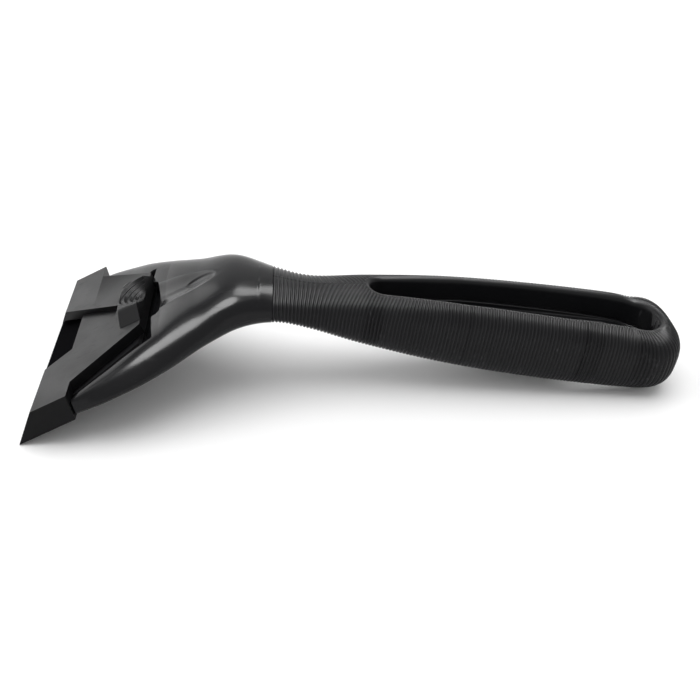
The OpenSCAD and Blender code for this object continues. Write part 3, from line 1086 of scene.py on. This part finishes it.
def make_clamp():
    outline = [(CLAMP_FRONT, -CLAMP_HALF), (CLAMP_SHOULDER, -CLAMP_HALF), (CLAMP_BACK, -CLAMP_BACK_HALF),
               (CLAMP_BACK, CLAMP_BACK_HALF), (CLAMP_SHOULDER, CLAMP_HALF), (CLAMP_FRONT, CLAMP_HALF)]
    plate = prism(outline, FLOOR_N, CLAMP_TOP)
    head_foot = CLAMP_TOP - SCREW_HEAD_T
    cuts = [clamp_chamfer()]
    for y in (-SCREW_Y, SCREW_Y):
        cuts.append(cone(SCREW_U, y, head_foot, CLAMP_TOP + 0.01, SCREW_R, SCREW_HEAD_R))
        cuts.append(cone(SCREW_U, y, FLOOR_N - OVER, head_foot + 0.1, SCREW_R, SCREW_R))
    data = carve(plate, [("DIFFERENCE", cut) for cut in cuts], bevel=0.22, segments=2)
    data.name = "clamp_bar"
    show(data, CLAMP, "tool", ["clamp_plate"], sharp=35, flat=True)


def make_blade():
    """The blade: its edge is ground from both sides, more steeply at the very tip."""
    half = BLADE_W / 2
    tip, grind = EDGE_U + TIP_RUN, EDGE_U + GRIND_RUN
    outline = [(EDGE_U, SEAT_N + BLADE_T / 2), (tip, SEAT_N + TIP_N), (grind, SEAT_N),
               (BLADE_BACK, SEAT_N), (BLADE_BACK, FLOOR_N), (grind, FLOOR_N), (tip, FLOOR_N - TIP_N)]
    data = carve(prism(outline, -half, half, "side"), [], bevel=0.06, segments=2, angle=50)
    data.name = "blade_blank"
    show(data, BLADE, "tool", ["scraper_blade"], sharp=20)


def dress_small_parts():
    """Screws and inserts keep their CAD shape and get their own metal."""
    for kind, material in (("clamp_screw", SCREW), ("threaded_insert", BRASS)):
        for side in ("left", "right"):
            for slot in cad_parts[f"{kind}_{side}"].material_slots:
                slot.material = material


# -------- studio, in metres
FLOOR_REACH = 6.0
FLOOR_DROP = 0.0002         # the floor lies this far under the scraper
SWEEP_START = 2.5           # behind here the floor curves up into a wall
SWEEP_R = 1.5
SWEEP_STEPS = 24
WALL_TOP = 5.0
FLOOR_WHITE = 0.86
WORLD_STRENGTH = 0.74


def floor_profile():
    """The floor from the side: flat, then curved up into a wall behind."""
    turn = np.linspace(0, math.pi / 2, SWEEP_STEPS)[1:]
    curve = [(SWEEP_START + SWEEP_R * math.sin(t), SWEEP_R - SWEEP_R * math.cos(t)) for t in turn]
    return [(-FLOOR_REACH, 0.0), (SWEEP_START, 0.0)] + curve + [(SWEEP_START + SWEEP_R, WALL_TOP)]


def make_floor():
    profile = floor_profile()
    points = [(x, y, z - FLOOR_DROP) for y, z in profile for x in (-FLOOR_REACH, FLOOR_REACH)]
    faces = [[2 * k, 2 * k + 1, 2 * k + 3, 2 * k + 2] for k in range(len(profile) - 1)]
    data = bpy.data.meshes.new("floor")
    data.from_pydata(points, [], faces)
    data.shade_smooth()
    material, tree, shader = new_material("floor_paint")
    shader.inputs["Base Color"].default_value = (FLOOR_WHITE, FLOOR_WHITE, FLOOR_WHITE, 1)
    tree.links.new(remap(tree, noise(tree, 4, 3), 0.3, 0.7, 0.75, 0.85), shader.inputs["Roughness"])
    data.materials.append(material)
    ground = bpy.data.objects.new("floor", data)
    bpy.context.scene.collection.objects.link(ground)


def make_world():
    world = bpy.data.worlds.new("studio")
    world.use_nodes = True
    background = world.node_tree.nodes["Background"]
    background.inputs["Color"].default_value = (1, 1, 1, 1)
    background.inputs["Strength"].default_value = WORLD_STRENGTH
    bpy.context.scene.world = world


def area_light(name, position, size, power):
    """Soft rectangular light that faces the scraper."""
    light = bpy.data.lights.new(name, "AREA")
    light.shape = "RECTANGLE"
    light.size, light.size_y = size
    light.energy = power
    lamp = bpy.data.objects.new(name, light)
    lamp.location = position
    lamp.rotation_euler = (-Vector(position)).to_track_quat("-Z", "Y").to_euler()
    bpy.context.scene.collection.objects.link(lamp)


def sun_light(name, strength, spread, tilt, diffuse=True):
    """Wide soft sun from overhead, tilted about X and Y; without diffuse it only makes highlights."""
    light = bpy.data.lights.new(name, "SUN")
    light.energy = strength
    light.angle = math.radians(spread)
    lamp = bpy.data.objects.new(name, light)
    lamp.rotation_euler = (math.radians(tilt[0]), math.radians(tilt[1]), 0)
    lamp.visible_diffuse = diffuse
    bpy.context.scene.collection.objects.link(lamp)


def make_studio():
    make_floor()
    make_world()
    sun_light("fill", 1.3, 60, (-6, 4))
    sun_light("overhead", 7.4, 36, (7, 0), diffuse=False)
    sun_light("far_sheen", 2.9, 30, (-29, 18.7), diffuse=False)
    area_light("backdrop", (-2.42, 2.03, 1.2), (2.5, 2.2), 32)
    area_light("left", (-1.86, 0.07, 1.67), (1.2, 1.2), 10)
    bpy.context.scene.view_settings.view_transform = "Standard"


# -------- camera
CAMERA_SPOT = (99.47, -361.91, 238.13)      # in the tool's frame, in mm
CAMERA_HEADING = 4.68       # degrees from +Y towards +X
CAMERA_DOWN = 32.13
CAMERA_ROLL = 2.5
CAMERA_LENS = 51.43
CAMERA_SENSOR = 36


def make_camera():
    """Camera over the near side, looking a little down at the scraper."""
    heading, down, roll = (math.radians(v) for v in (CAMERA_HEADING, CAMERA_DOWN, CAMERA_ROLL))
    flat = math.cos(down)
    forward = Vector((math.sin(heading) * flat, math.cos(heading) * flat, -math.sin(down)))
    level = Vector((math.cos(heading), -math.sin(heading), 0))
    above = level.cross(forward)
    right = level * math.cos(roll) + above * math.sin(roll)
    up = above * math.cos(roll) - level * math.sin(roll)
    camera = bpy.data.objects.new("camera", bpy.data.cameras.new("camera"))
    camera.data.sensor_width = CAMERA_SENSOR
    camera.data.lens = CAMERA_LENS
    camera.data.clip_start = 0.01
    turned = Matrix((right, up, -forward)).transposed().to_4x4()
    camera.matrix_world = Matrix.Translation(place(CAMERA_SPOT)) @ turned
    bpy.context.scene.collection.objects.link(camera)
    bpy.context.scene.camera = camera


make_camera()
make_studio()
make_sleeve()
make_body()
make_guard()
make_clamp()
make_blade()
dress_small_parts()
